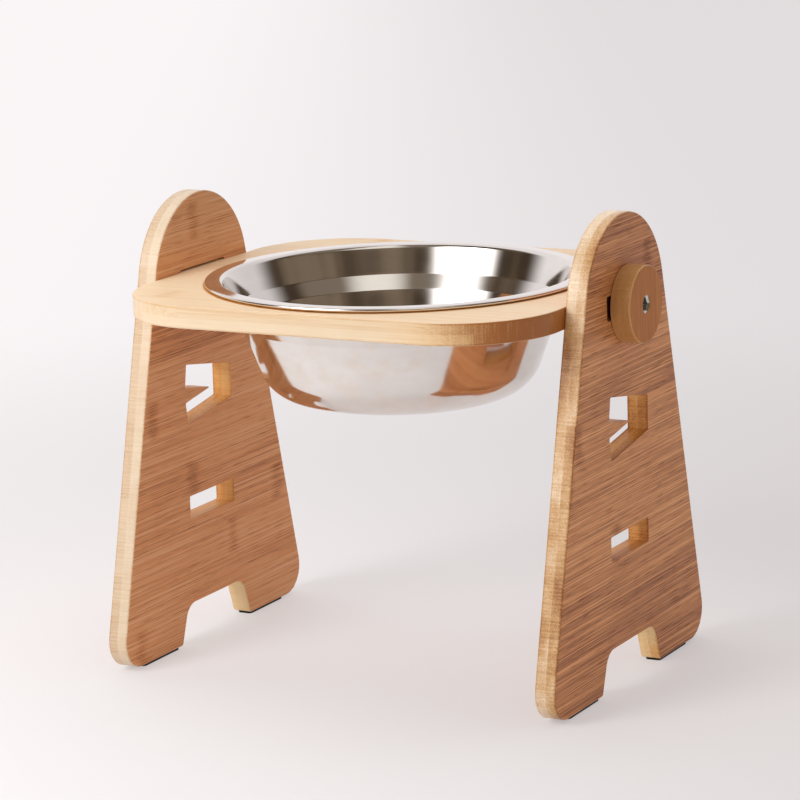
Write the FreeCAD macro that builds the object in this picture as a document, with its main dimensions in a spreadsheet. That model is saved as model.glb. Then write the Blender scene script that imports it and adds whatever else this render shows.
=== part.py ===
import FreeCAD, Part
import os
import Sketcher

# A raised feeding stand for one steel bowl. A tray board holds the bowl in a round hole.
# Its end tenons go through slots in two side panels, and a wooden knob clamps each panel.
# Millimetres. X runs from the left panel to the right one, -Y is the front, +Z is up.
# The origin is on the floor, under the middle of the tray.

SIZES = (
    ("board_thickness", 12.0),  # panels and tray are cut from the same board
    ("board_edge_round", 1.0),  # sanded edge of every board
    ("panel_height", 255.5),
    ("panel_base_depth", 203.0),  # front to rear, to the sharp foot corners
    ("panel_top_radius", 50.0),
    ("foot_corner_radius", 16.0),
    ("foot_inner_radius", 2.0),
    ("arch_height", 22.0),  # cut-out between the two feet of a panel
    ("arch_top_width", 60.0),
    ("arch_bottom_width", 76.0),
    ("arch_corner_radius", 10.5),
    ("slot_top_inset", 48.0),  # middle of the top slot below the panel's highest point
    ("slot_pitch", 65.0),  # from one slot level down to the next
    ("slot_corner_radius", 1.0),
    ("slot_end_clearance", 0.25),  # at each end of a tenon
    ("slot_height_clearance", 1.3),  # above a tenon that rests in its slot
    ("fork_tilt", 9.0),  # degrees that each branch of the middle slot leans
    ("fork_rear_offset", 1.5),  # rear wall of the middle slot behind the other slots' ends
    ("fork_tip", 3.0),  # point of the wedge between the branches, behind the panel's middle
    ("fork_tip_radius", 0.3),  # the wedge ends in a thin edge, sharper than the slots' corners
    ("tray_length", 250.0),  # between the two panels
    ("tray_depth", 228.0),
    ("tray_corner_radius", 56.0),
    ("tray_rail_width", 16.0),  # wood in front of the bowl's hole and behind it
    ("tenon_width", 48.0),
    ("tenon_setback", 5.0),  # tenon end inside the panel's outer face, so that the knob clamps
    ("bowl_rim_diameter", 212.0),
    ("bowl_bead_diameter", 2.2),  # rolled edge of the rim
    ("bowl_flange_width", 8.5),  # from the rim's edge in to the wall
    ("bowl_depth", 67.5),
    ("bowl_taper", 20.0),  # degrees that the wall leans from upright
    ("bowl_corner_radius", 26.0),
    ("bowl_bend_radius", 3.0),  # from the rim into the bowl
    ("bowl_wall", 0.8),
    ("bowl_hole_clearance", 0.5),
    ("bowl_seat_gap", 0.3),
    ("knob_diameter", 42.0),
    ("knob_thickness", 12.0),
    ("insert_diameter", 10.0),  # threaded insert in the middle of a knob
    ("insert_recess", 0.6),  # below the knob's outer face
    ("insert_hex_width", 7.0),  # across the flats of the driving socket
    ("insert_hex_depth", 4.5),
    ("bolt_diameter", 6.0),  # headless bolt, wood thread in the tenon and machine thread outside
    ("bolt_end_wall", 8.0),  # wood between the bolt's inner end and the bowl's hole
    ("bolt_reach", 12.0),  # length outside the tenon
    ("bolt_tip_length", 4.0),
    ("bolt_end_chamfer", 0.8),
    ("bolt_running_clearance", 0.05),
    ("pad_thickness", 1.5),
    ("pad_side_inset", 1.5),  # from each face of the panel
    ("pad_arch_gap", 2.0),  # from the arch to the pad
    ("pad_corner_gap", 8.0),  # from the pad to where the foot's outer corner would start, were it square
    ("pad_corner_radius", 2.0),
)

doc = FreeCAD.newDocument("feeding_stand")
sheet = doc.addObject("Spreadsheet::Sheet", "sizes")
for row, (alias, number) in enumerate(SIZES, start=1):
    sheet.set("A%d" % row, alias)
    sheet.set("B%d" % row, str(number))
    sheet.setAlias("B%d" % row, alias)
doc.recompute()

# Sizes and places that several pieces share, worked out from the driving sizes.
BOARD = "sizes.board_thickness"
EDGE_ROUND = "sizes.board_edge_round"
SLOT_LENGTH = "(sizes.tenon_width + 2 * sizes.slot_end_clearance)"
SLOT_HEIGHT = "(sizes.board_thickness + sizes.slot_height_clearance)"
PANEL_INNER_X = "(sizes.tray_length / 2)"
PANEL_OUTER_X = "(sizes.tray_length / 2 + sizes.board_thickness)"
TENON_END_X = "(%s - sizes.tenon_setback)" % PANEL_OUTER_X
SLOT_TOP_LEVEL = "(sizes.panel_height - sizes.slot_top_inset)"
TRAY_BOTTOM_Z = "(sizes.pad_thickness + %s - %s / 2)" % (SLOT_TOP_LEVEL, SLOT_HEIGHT)
TRAY_TOP_Z = "(%s + sizes.board_thickness)" % TRAY_BOTTOM_Z
CLAMP_Z = "(%s + sizes.board_thickness / 2)" % TRAY_BOTTOM_Z
RIM_RADIUS = "(sizes.bowl_rim_diameter / 2)"
FLANGE_ROOM = "%s - sizes.bowl_flange_width" % RIM_RADIUS
TRAY_ROOM = "sizes.tray_depth / 2 - sizes.tray_rail_width - sizes.bowl_hole_clearance"
NECK_RADIUS = "min(%s; %s)" % (FLANGE_ROOM, TRAY_ROOM)  # clear of the rim's edge and of the rails
HOLE_RADIUS = "(%s + sizes.bowl_hole_clearance)" % NECK_RADIUS
BEAD_RADIUS = "(sizes.bowl_bead_diameter / 2)"
BOLT_GRIP = "(%s - %s - sizes.bolt_end_wall)" % (TENON_END_X, HOLE_RADIUS)
TAPER = "(sizes.bowl_taper * 1 deg)"
TILT = "(sizes.fork_tilt * 1 deg)"
NEAR = 1e-4  # two points closer than this are the same point


def evaluate(expression):
    result = doc.getObject("sizes").evalExpression(expression.replace("sizes.", ""))
    return float(getattr(result, "Value", result))


def new_body(label):
    body = doc.addObject("PartDesign::Body", label)
    body.Label = label
    return body


def place(body, x="0", y="0", z="0", turned=False):
    half_turn = FreeCAD.Rotation(FreeCAD.Vector(0, 0, 1), 180 if turned else 0)
    body.Placement = FreeCAD.Placement(FreeCAD.Vector(0, 0, 0), half_turn)
    for axis, expression in (("x", x), ("y", y), ("z", z)):
        body.setExpression("Placement.Base." + axis, expression)


# Sketches

def new_sketch(body, role, name, offset=None):
    sketch = body.newObject("Sketcher::SketchObject", body.Label + "_" + name)
    plane = [item for item in body.Origin.OriginFeatures if item.Role == role][0]
    sketch.AttachmentSupport = (plane, [""])
    sketch.MapMode = "FlatFace"
    for axis, expression in (offset or {}).items():
        sketch.setExpression("AttachmentOffset.Base." + axis, expression)
    return sketch


def drive(sketch, kind, *where, by):
    index = sketch.addConstraint(Sketcher.Constraint(kind, *where, evaluate(by)))
    sketch.setExpression("Constraints[%d]" % index, by)


def pin(sketch, curve, end, x, y):
    drive(sketch, "DistanceX", -1, 1, curve, end, by=x)
    drive(sketch, "DistanceY", -1, 1, curve, end, by=y)


def add_path(sketch, corners, closed=True):
    points = [FreeCAD.Vector(evaluate(x), evaluate(y), 0) for x, y in corners]
    count = len(corners) if closed else len(corners) - 1
    lines = []
    for i in range(count):
        segment = Part.LineSegment(points[i], points[(i + 1) % len(points)])
        lines.append(sketch.addGeometry(segment))
    for first, second in zip(lines, lines[1:] + lines[:1] if closed else lines[1:]):
        sketch.addConstraint(Sketcher.Constraint("Coincident", first, 2, second, 1))
    return lines


def add_polygon(sketch, corners):
    for line, (x, y) in zip(add_path(sketch, corners), corners):
        pin(sketch, line, 1, x, y)


def add_rectangle(sketch, width, height):
    right, top = "(%s) / 2" % width, "(%s) / 2" % height
    left, bottom = "-(%s) / 2" % width, "-(%s) / 2" % height
    add_polygon(sketch, ((left, bottom), (right, bottom), (right, top), (left, top)))


def add_circle(sketch, radius, x="0", y="0"):
    centre = FreeCAD.Vector(evaluate(x), evaluate(y), 0)
    curve = sketch.addGeometry(Part.Circle(centre, FreeCAD.Vector(0, 0, 1), evaluate(radius)))
    pin(sketch, curve, 3, x, y)
    drive(sketch, "Radius", curve, by=radius)


# Features

def add_pad(body, sketch, length):
    pad = body.newObject("PartDesign::Pad", sketch.Name + "_pad")
    pad.Profile = sketch
    pad.setExpression("Length", length)
    doc.recompute()
    return pad


def add_turned(body, sketch, axis):
    turned = body.newObject("PartDesign::Revolution", sketch.Name + "_turned")
    turned.Profile = sketch
    turned.ReferenceAxis = (sketch, [axis])
    turned.Angle = 360
    doc.recompute()
    return turned


def add_pocket(body, sketch, depth=None, forwards=False):
    volume = body.Tip.Shape.Volume
    pocket = body.newObject("PartDesign::Pocket", sketch.Name + "_pocket")
    pocket.Profile = sketch
    pocket.Reversed = forwards
    if depth is None:
        pocket.Type = "ThroughAll"
    else:
        pocket.setExpression("Length", depth)
    doc.recompute()
    if pocket.Shape.Volume >= volume:
        raise RuntimeError(pocket.Name + " cuts nothing")
    return pocket


def add_fillet(body, name, edges, radius):
    if not edges:
        raise RuntimeError("no edges for " + name)
    fillet = body.newObject("PartDesign::Fillet", body.Label + "_" + name)
    fillet.Base = (fillet.BaseFeature, edges)
    fillet.setExpression("Radius", radius)
    doc.recompute()
    return fillet


def edges_where(body, test):
    numbered = enumerate(body.Tip.Shape.Edges, start=1)
    return ["Edge%d" % number for number, edge in numbered if test(edge)]


def edges_along(body, direction, corners):
    # straight edges in one direction that pass through the given corners
    points = [FreeCAD.Vector(*[evaluate(value) for value in corner]) for corner in corners]

    def test(edge):
        if not isinstance(edge.Curve, Part.Line):
            return False
        if edge.Curve.Direction.cross(direction).Length > NEAR:
            return False
        return any(edge.Curve.projectPoint(point).distanceToPoint(point) < NEAR for point in points)

    return edges_where(body, test)


def circles_at(body, radius, level):
    # whole circles about Z with the given radius and level
    def test(edge):
        if not isinstance(edge.Curve, Part.Circle):
            return False
        same_radius = abs(edge.Curve.Radius - evaluate(radius)) < NEAR
        return same_radius and abs(edge.Curve.Center.z - evaluate(level)) < NEAR

    return edges_where(body, test)


def outline_edges(body, direction):
    # outer edges of the flat faces that look along or against a direction
    outline = []
    for face in body.Tip.Shape.Faces:
        flat = isinstance(face.Surface, Part.Plane)
        if flat and face.Surface.Axis.cross(direction).Length < NEAR:
            outline.extend(face.OuterWire.Edges)
    return edges_where(body, lambda edge: any(edge.isSame(other) for other in outline))


ALONG_X = FreeCAD.Vector(1, 0, 0)
ALONG_Z = FreeCAD.Vector(0, 0, 1)


# Side panels

def panel_corners():
    # sharp outline: two feet with the arch between them, and straight sides up to a point
    base, arch_top = "sizes.panel_base_depth / 2", "sizes.arch_top_width / 2"
    arch_bottom, arch_height = "sizes.arch_bottom_width / 2", "sizes.arch_height"
    # the sides touch a circle of the top radius whose highest point is the panel's height
    half, radius = "(sizes.panel_base_depth / 2)", "sizes.panel_top_radius"
    centre = "(sizes.panel_height - sizes.panel_top_radius)"
    side = "sqrt(%s ^ 2 + %s ^ 2 - %s ^ 2)" % (half, centre, radius)
    point = "(%s * (%s * %s + %s * %s) / (%s ^ 2 - %s ^ 2))" % (
        half, half, centre, radius, side, half, radius)
    return {"foot_corners": [("-" + base, "0"), (base, "0")],
            "foot_inner_corners": [("-" + arch_bottom, "0"), (arch_bottom, "0")],
            "arch_corners": [("-" + arch_top, arch_height), (arch_top, arch_height)],
            "crown": [("0", point)]}


FORK_TIP = ("sizes.fork_tip", "0")


def fork_corners():
    # two branches that lean up and down towards the front and share the rear wall
    rear = "(%s / 2 + sizes.fork_rear_offset)" % SLOT_LENGTH
    half_rear = "((%s - (%s - sizes.fork_tip) * sin(%s)) / cos(%s))" % (SLOT_HEIGHT, rear, TILT, TILT)
    outer_x = "(%s - %s * cos(%s))" % (rear, SLOT_LENGTH, TILT)
    outer_y = "(%s + %s * sin(%s))" % (half_rear, SLOT_LENGTH, TILT)
    inner_x = "(%s - %s * sin(%s))" % (outer_x, SLOT_HEIGHT, TILT)
    inner_y = "(%s - %s * cos(%s))" % (outer_y, SLOT_HEIGHT, TILT)
    upper = [(rear, half_rear), (outer_x, outer_y), (inner_x, inner_y)]
    lower = [(x, "-" + y) for x, y in reversed(upper)]
    return upper + [FORK_TIP] + lower


def make_panel(label, x):
    body = new_body(label)
    corners = panel_corners()
    feet, inner, arch = corners["foot_corners"], corners["foot_inner_corners"], corners["arch_corners"]
    outline = new_sketch(body, "YZ_Plane", "outline")
    add_polygon(outline, (feet[0], inner[0], arch[0], arch[1], inner[1], feet[1], *corners["crown"]))
    add_pad(body, outline, BOARD)
    radii = {"crown": "sizes.panel_top_radius", "foot_corners": "sizes.foot_corner_radius",
             "foot_inner_corners": "sizes.foot_inner_radius", "arch_corners": "sizes.arch_corner_radius"}
    for name, radius in radii.items():
        edges = edges_along(body, ALONG_X, [("0", y, z) for y, z in corners[name]])
        add_fillet(body, name, edges, radius)
    add_fillet(body, "edge_round", outline_edges(body, ALONG_X), EDGE_ROUND)

    levels = {"top_slot": SLOT_TOP_LEVEL,
              "fork_slot": "(%s - sizes.slot_pitch)" % SLOT_TOP_LEVEL,
              "low_slot": "(%s - 2 * sizes.slot_pitch)" % SLOT_TOP_LEVEL}
    half_length, half_height = SLOT_LENGTH + " / 2", SLOT_HEIGHT + " / 2"
    plain = [("-" + half_length, "-" + half_height), (half_length, "-" + half_height),
             (half_length, half_height), ("-" + half_length, half_height)]
    slot_edges, tip_edges = [], []
    for name, level in levels.items():
        corners = fork_corners() if name == "fork_slot" else plain
        sketch = new_sketch(body, "YZ_Plane", name, {"y": level})
        add_polygon(sketch, corners)
        add_pocket(body, sketch, forwards=True)
        for y, z in corners:
            edges = tip_edges if (y, z) == FORK_TIP else slot_edges
            edges.append(("0", y, "%s + %s" % (level, z)))
    add_fillet(body, "slot_corners", edges_along(body, ALONG_X, slot_edges), "sizes.slot_corner_radius")
    add_fillet(body, "fork_tip_round", edges_along(body, ALONG_X, tip_edges), "sizes.fork_tip_radius")
    place(body, x=x, z="sizes.pad_thickness")
    return body


# Tray board with a tenon at each end, a round hole for the bowl and a bolt hole in each tenon

def make_tray(label):
    body = new_body(label)
    board = new_sketch(body, "XY_Plane", "board")
    add_rectangle(board, "sizes.tray_length", "sizes.tray_depth")
    add_pad(body, board, BOARD)
    half_length, half_depth = "sizes.tray_length / 2", "sizes.tray_depth / 2"
    corners = [(side_x + half_length, side_y + half_depth, "0") for side_x in ("", "-") for side_y in ("", "-")]
    add_fillet(body, "corners", edges_along(body, ALONG_Z, corners), "sizes.tray_corner_radius")
    add_fillet(body, "edge_round", outline_edges(body, ALONG_Z), EDGE_ROUND)

    tenons = new_sketch(body, "XY_Plane", "tenons")
    add_rectangle(tenons, "2 * " + TENON_END_X, "sizes.tenon_width")
    add_pad(body, tenons, BOARD)

    hole = new_sketch(body, "XY_Plane", "bowl_hole")
    add_circle(hole, HOLE_RADIUS)
    add_pocket(body, hole, forwards=True)
    rims = circles_at(body, HOLE_RADIUS, "0") + circles_at(body, HOLE_RADIUS, BOARD)
    add_fillet(body, "hole_round", rims, EDGE_ROUND)

    for side, end_x, forwards in (("left", "-" + TENON_END_X, True), ("right", TENON_END_X, False)):
        bolt_hole = new_sketch(body, "YZ_Plane", side + "_bolt_hole", {"y": BOARD + " / 2", "z": end_x})
        add_circle(bolt_hole, "sizes.bolt_diameter / 2")
        add_pocket(body, bolt_hole, depth=BOLT_GRIP, forwards=forwards)
    place(body, z=TRAY_BOTTOM_Z)
    return body


# Steel bowl: a tapered cup, a flat rim and a rolled bead that stands on the tray

def make_bowl(label):
    body = new_body(label)
    rim_top = "sizes.bowl_bead_diameter"
    bottom = "(sizes.bowl_bead_diameter - sizes.bowl_depth)"
    base_radius = "(%s - sizes.bowl_depth * tan(%s))" % (NECK_RADIUS, TAPER)
    cup = new_sketch(body, "XZ_Plane", "cup")
    add_polygon(cup, (("0", bottom), (base_radius, bottom), (NECK_RADIUS, rim_top), ("0", rim_top)))
    add_turned(body, cup, "V_Axis")
    add_fillet(body, "base_corner", circles_at(body, base_radius, bottom), "sizes.bowl_corner_radius")

    solid_volume = body.Tip.Shape.Volume
    shell = body.newObject("PartDesign::Thickness", label + "_wall")
    top_face = max(enumerate(shell.BaseFeature.Shape.Faces, start=1), key=lambda item: item[1].CenterOfMass.z)
    shell.Base = (shell.BaseFeature, ["Face%d" % top_face[0]])
    shell.setExpression("Value", "sizes.bowl_wall")
    shell.Reversed = True
    doc.recompute()
    if shell.Shape.Volume >= solid_volume:
        raise RuntimeError("the bowl isn't hollow")

    # flat rim ending in the bead, drawn from the middle of the wall outwards
    start = "(%s - sizes.bowl_wall / cos(%s) / 2)" % (NECK_RADIUS, TAPER)
    under = "(sizes.bowl_bead_diameter - sizes.bowl_wall)"
    bead_x = "(%s - %s)" % (RIM_RADIUS, BEAD_RADIUS)
    join_x = "(%s - sqrt(%s ^ 2 - (%s - sizes.bowl_wall) ^ 2))" % (bead_x, BEAD_RADIUS, BEAD_RADIUS)
    rim = new_sketch(body, "XZ_Plane", "rim")
    corners = [(join_x, under), (start, under), (start, rim_top), (bead_x, rim_top)]
    lines = add_path(rim, corners, closed=False)
    for line, (x, y) in zip(lines, corners):
        pin(rim, line, 1, x, y)
    pin(rim, lines[-1], 2, *corners[-1])
    points = [FreeCAD.Vector(evaluate(x), evaluate(y), 0) for x, y in corners]
    outermost = FreeCAD.Vector(evaluate(RIM_RADIUS), evaluate(BEAD_RADIUS), 0)
    bead = rim.addGeometry(Part.Arc(points[0], outermost, points[-1]))
    rim.addConstraint(Sketcher.Constraint("Coincident", bead, 1, lines[0], 1))
    rim.addConstraint(Sketcher.Constraint("Coincident", bead, 2, lines[-1], 2))
    drive(rim, "Radius", bead, by=BEAD_RADIUS)
    add_turned(body, rim, "V_Axis")

    outer_bend = "(%s - sizes.bowl_wall * tan(%s))" % (NECK_RADIUS, TAPER)
    inner_bend = "(%s - sizes.bowl_wall / cos(%s))" % (NECK_RADIUS, TAPER)
    bends = circles_at(body, outer_bend, under)
    add_fillet(body, "outer_bend", bends, "sizes.bowl_bend_radius - sizes.bowl_wall")
    add_fillet(body, "inner_bend", circles_at(body, inner_bend, rim_top), "sizes.bowl_bend_radius")
    place(body, z="%s + sizes.bowl_seat_gap" % TRAY_TOP_Z)
    return body


# Clamp at each end: a wooden knob, its threaded insert and the headless bolt in the tenon

def make_knob(label, x, turned):
    body = new_body(label)
    disc = new_sketch(body, "YZ_Plane", "disc")
    add_circle(disc, "sizes.knob_diameter / 2")
    add_pad(body, disc, "sizes.knob_thickness")
    add_fillet(body, "edge_round", outline_edges(body, ALONG_X), EDGE_ROUND)
    hole = new_sketch(body, "YZ_Plane", "insert_hole")
    add_circle(hole, "sizes.insert_diameter / 2")
    add_pocket(body, hole, forwards=True)
    place(body, x=x, z=CLAMP_Z, turned=turned)
    return body


def make_insert(label, x, turned):
    body = new_body(label)
    length = "(sizes.knob_thickness - sizes.insert_recess)"
    barrel = new_sketch(body, "YZ_Plane", "barrel")
    add_circle(barrel, "sizes.insert_diameter / 2")
    add_pad(body, barrel, length)
    bore = new_sketch(body, "YZ_Plane", "bore")
    add_circle(bore, "sizes.bolt_diameter / 2 + sizes.bolt_running_clearance")
    add_pocket(body, bore, forwards=True)

    flat = "(sizes.insert_hex_width / 2)"
    corner = "(sizes.insert_hex_width / sqrt(3))"
    half_corner = "(%s / 2)" % corner
    socket = new_sketch(body, "YZ_Plane", "socket", {"z": length})
    add_polygon(socket, (("0", corner), ("-" + flat, half_corner), ("-" + flat, "-" + half_corner),
                         ("0", "-" + corner), (flat, "-" + half_corner), (flat, half_corner)))
    add_pocket(body, socket, depth="sizes.insert_hex_depth")
    place(body, x=x, z=CLAMP_Z, turned=turned)
    return body


def make_bolt(label, x, turned):
    body = new_body(label)
    radius = "(sizes.bolt_diameter / 2)"
    end_x = "(%s + sizes.bolt_reach)" % BOLT_GRIP
    profile = new_sketch(body, "XY_Plane", "profile")
    add_polygon(profile, (("0", "0"), (end_x, "0"), (end_x, radius + " - sizes.bolt_end_chamfer"),
                          (end_x + " - sizes.bolt_end_chamfer", radius), ("sizes.bolt_tip_length", radius)))
    add_turned(body, profile, "H_Axis")
    place(body, x=x, z=CLAMP_Z, turned=turned)
    return body


# Anti-slip pads, one under each foot

def make_pad(label, x, y):
    body = new_body(label)
    outer = "(sizes.panel_base_depth / 2 - sizes.foot_corner_radius - sizes.pad_corner_gap)"
    inner = "(sizes.arch_bottom_width / 2 + sizes.pad_arch_gap)"
    width = "(sizes.board_thickness - 2 * sizes.pad_side_inset)"
    length = "(%s - %s)" % (outer, inner)
    strip = new_sketch(body, "XY_Plane", "strip")
    add_rectangle(strip, width, length)
    add_pad(body, strip, "sizes.pad_thickness")
    corners = [(side_x + width + " / 2", side_y + length + " / 2", "0")
               for side_x in ("", "-") for side_y in ("", "-")]
    add_fillet(body, "corners", edges_along(body, ALONG_Z, corners), "sizes.pad_corner_radius")
    place(body, x=x, y="%s(%s + %s) / 2" % (y, outer, inner))
    return body


pieces = [make_tray("tray_board"), make_bowl("bowl")]
for side, sign, turned in (("left", "-", True), ("right", "", False)):
    panel_x = "-" + PANEL_OUTER_X if turned else PANEL_INNER_X
    pieces.append(make_panel(side + "_side_panel", panel_x))
    pieces.append(make_knob(side + "_knob", sign + PANEL_OUTER_X, turned))
    pieces.append(make_insert(side + "_knob_insert", sign + PANEL_OUTER_X, turned))
    bolt_x = "%s(%s - %s)" % (sign, TENON_END_X, BOLT_GRIP)
    pieces.append(make_bolt(side + "_hanger_bolt", bolt_x, turned))
    pad_x = "%s(%s + sizes.board_thickness / 2)" % (sign, PANEL_INNER_X)
    pieces.append(make_pad(side + "_front_foot_pad", pad_x, "-"))
    pieces.append(make_pad(side + "_rear_foot_pad", pad_x, ""))
doc.recompute()

for item in doc.Objects:
    if "Invalid" in item.State or "Error" in item.State:
        raise RuntimeError("%s failed: %s" % (item.Name, item.State))
for piece in pieces:
    if piece.Shape.isNull() or not piece.Shape.isValid() or len(piece.Shape.Solids) != 1:
        raise RuntimeError(piece.Label + " isn't one valid solid")

os.makedirs("parts", exist_ok=True)
for piece in pieces:
    piece.Shape.exportStep(os.path.join("parts", piece.Label + ".step"))
    box = piece.Shape.optimalBoundingBox(False)
    print("%-24s %9.0f mm3  x %.2f to %.2f  y %.2f to %.2f  z %.2f to %.2f" % (
        piece.Label, piece.Shape.Volume, box.XMin, box.XMax, box.YMin, box.YMax, box.ZMin, box.ZMax))
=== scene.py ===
import math
from types import SimpleNamespace

import bmesh
import bpy
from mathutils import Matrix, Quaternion, Vector


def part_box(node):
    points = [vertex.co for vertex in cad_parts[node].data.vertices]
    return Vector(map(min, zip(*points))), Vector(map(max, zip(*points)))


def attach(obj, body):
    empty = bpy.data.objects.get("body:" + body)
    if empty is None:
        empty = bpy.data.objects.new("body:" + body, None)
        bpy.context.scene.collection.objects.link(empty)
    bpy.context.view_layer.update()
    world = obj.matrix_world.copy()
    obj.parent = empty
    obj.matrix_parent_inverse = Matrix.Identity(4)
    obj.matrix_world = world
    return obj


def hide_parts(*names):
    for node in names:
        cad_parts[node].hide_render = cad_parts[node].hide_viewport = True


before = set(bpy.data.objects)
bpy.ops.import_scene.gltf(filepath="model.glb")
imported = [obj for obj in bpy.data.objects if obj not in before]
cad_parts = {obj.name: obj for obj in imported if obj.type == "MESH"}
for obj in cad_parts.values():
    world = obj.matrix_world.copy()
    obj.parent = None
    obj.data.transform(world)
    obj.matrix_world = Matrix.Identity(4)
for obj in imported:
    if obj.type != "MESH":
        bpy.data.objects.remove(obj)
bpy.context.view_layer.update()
print("frame loaded,", len(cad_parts), "nodes")


# Hand tools

def deselectAll():
    if bpy.context.mode != "OBJECT":
        bpy.ops.object.mode_set(mode="OBJECT")
    bpy.ops.object.select_all(action="DESELECT")


def choose(kind, test):
    # in edit mode: selects the verts, edges or faces that pass a test, and nothing else
    bpy.ops.mesh.select_mode(type={"verts": "VERT", "edges": "EDGE", "faces": "FACE"}[kind])
    bpy.ops.mesh.select_all(action="DESELECT")
    mesh = bmesh.from_edit_mesh(bpy.context.object.data)
    for part in getattr(mesh, kind):
        if test(part):
            part.select_set(True)
    bmesh.update_edit_mesh(bpy.context.object.data)


def cornerArc(before, corner, after, radius):
    # where a round corner starts and ends, its centre, and how far it turns (left is positive)
    if radius == 0:
        return corner, corner, None, 0
    back, ahead = (before - corner).normalized(), (after - corner).normalized()
    inside = back.angle(ahead)
    reach = radius / math.tan(inside / 2)
    centre = corner + (back + ahead).normalized() * radius / math.sin(inside / 2)
    turn = math.copysign(math.pi - inside, (corner - before).cross(after - corner))
    return corner + back * reach, corner + ahead * reach, centre, turn


def drawTo(start, end):
    if (end - start).length > 1e-7:
        bpy.ops.mesh.extrude_region_move(TRANSFORM_OT_translate={"value": end - start})


def swing(centre, turn, axis, arcStep):
    # spin turns against the right-hand rule, so the angle is given the other way
    steps = max(2, math.ceil(abs(turn) / arcStep))
    bpy.ops.mesh.spin(steps=steps, angle=-turn, center=centre, axis=axis)


def drawOutline(name, corners, place, axis, closed=True, arcStep=math.radians(4)):
    # one vertex is drawn along the outline: straight runs are extruded and round corners spun
    flat = [Vector(corner[:2]) for corner in corners]
    count = len(flat)
    arcs = []
    for i, corner in enumerate(corners):
        radius = corner[2] if closed or 0 < i < count - 1 else 0
        arcs.append(cornerArc(flat[i - 1], flat[i], flat[(i + 1) % count], radius))
    here = place(*arcs[-1][1]) if closed else place(*flat[0])
    deselectAll()
    bpy.ops.mesh.primitive_plane_add(size=0.01, location=here)
    piece = bpy.context.object
    piece.name = name
    bpy.ops.object.mode_set(mode="EDIT")
    bpy.ops.mesh.select_mode(type="VERT")  # a lone vertex can't stay selected in the other modes
    bpy.ops.mesh.select_all(action="SELECT")
    bpy.ops.mesh.merge(type="CENTER")
    for start, end, centre, turn in arcs if closed else arcs[1:]:
        drawTo(here, place(*start))
        if turn:
            swing(place(*centre), turn, axis, arcStep)
        here = place(*end)
    return piece


def mergeDoubles(reach=1e-5):
    bpy.ops.mesh.select_all(action="SELECT")
    bpy.ops.mesh.remove_doubles(threshold=reach)
    bpy.ops.mesh.select_all(action="SELECT")


def thicken(offset):
    # closes the drawn outline, fills it and pulls it into a board
    mergeDoubles()
    bpy.ops.mesh.edge_face_add()
    bpy.ops.mesh.extrude_region_move(TRANSFORM_OT_translate={"value": offset})
    bpy.ops.mesh.select_all(action="SELECT")
    bpy.ops.mesh.normals_make_consistent(inside=False)


def bevelChosen(width, segments):
    bpy.ops.mesh.bevel(offset_type="OFFSET", offset=width, segments=segments, profile=0.5, affect="EDGES")


def outlineOf(direction):
    # test for the edges between the broad faces of a board and its sides
    def test(edge):
        facing = sorted(abs(face.normal.dot(direction)) for face in edge.link_faces)
        return len(facing) == 2 and facing[0] < 0.1 and facing[1] > 0.9
    return test


def settle():
    # back in object mode, with the place in the mesh and the object at the origin
    bpy.ops.object.mode_set(mode="OBJECT")
    bpy.ops.object.transform_apply(location=True, rotation=True, scale=True)
    return bpy.context.object


def roundBar(radius, start, end, level, sides):
    # a cylinder that lies along x
    deselectAll()
    middle = ((start + end) / 2, 0, level)
    bpy.ops.mesh.primitive_cylinder_add(vertices=sides, radius=radius, depth=end - start,
                                        location=middle, rotation=(0, math.pi / 2, 0))
    return settle()


def useAlone(piece):
    deselectAll()
    piece.select_set(True)
    bpy.context.view_layer.objects.active = piece


def finishWith(piece, kind, **settings):
    useAlone(piece)
    bpy.ops.object.modifier_add(type=kind)
    modifier = piece.modifiers[-1]
    for key, value in settings.items():
        setattr(modifier, key, value)
    bpy.ops.object.modifier_apply(modifier=modifier.name)


def cutWith(piece, cutters):
    for cutter in cutters:
        finishWith(piece, "BOOLEAN", operation="DIFFERENCE", solver="EXACT", object=cutter)
        bpy.data.objects.remove(cutter)


def roundEdges(piece, width, angle):
    # a small round on every edge that turns by more than the angle
    finishWith(piece, "BEVEL", limit_method="ANGLE", angle_limit=math.radians(angle), width=width,
               segments=2, use_clamp_overlap=True)


def smoothOver(piece, angle=35):
    useAlone(piece)
    bpy.ops.object.shade_smooth_by_angle(angle=math.radians(angle))
    finishWith(piece, "WEIGHTED_NORMAL", keep_sharp=True, weight=60)


def copyOf(piece, name, shift=(0, 0, 0), halfTurn=False):
    useAlone(piece)
    bpy.ops.object.duplicate()
    twin = bpy.context.object
    twin.name = name
    if halfTurn:
        bpy.ops.transform.rotate(value=math.pi, orient_axis="Z", center_override=(0, 0, 0))
    bpy.ops.transform.translate(value=shift)
    bpy.ops.object.transform_apply(location=True, rotation=True, scale=True)
    return twin


def addPiece(piece, body, node, finish):
    piece.data.materials.clear()
    piece.data.materials.append(finish)
    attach(piece, body)
    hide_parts(node)


# Node tools

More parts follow.
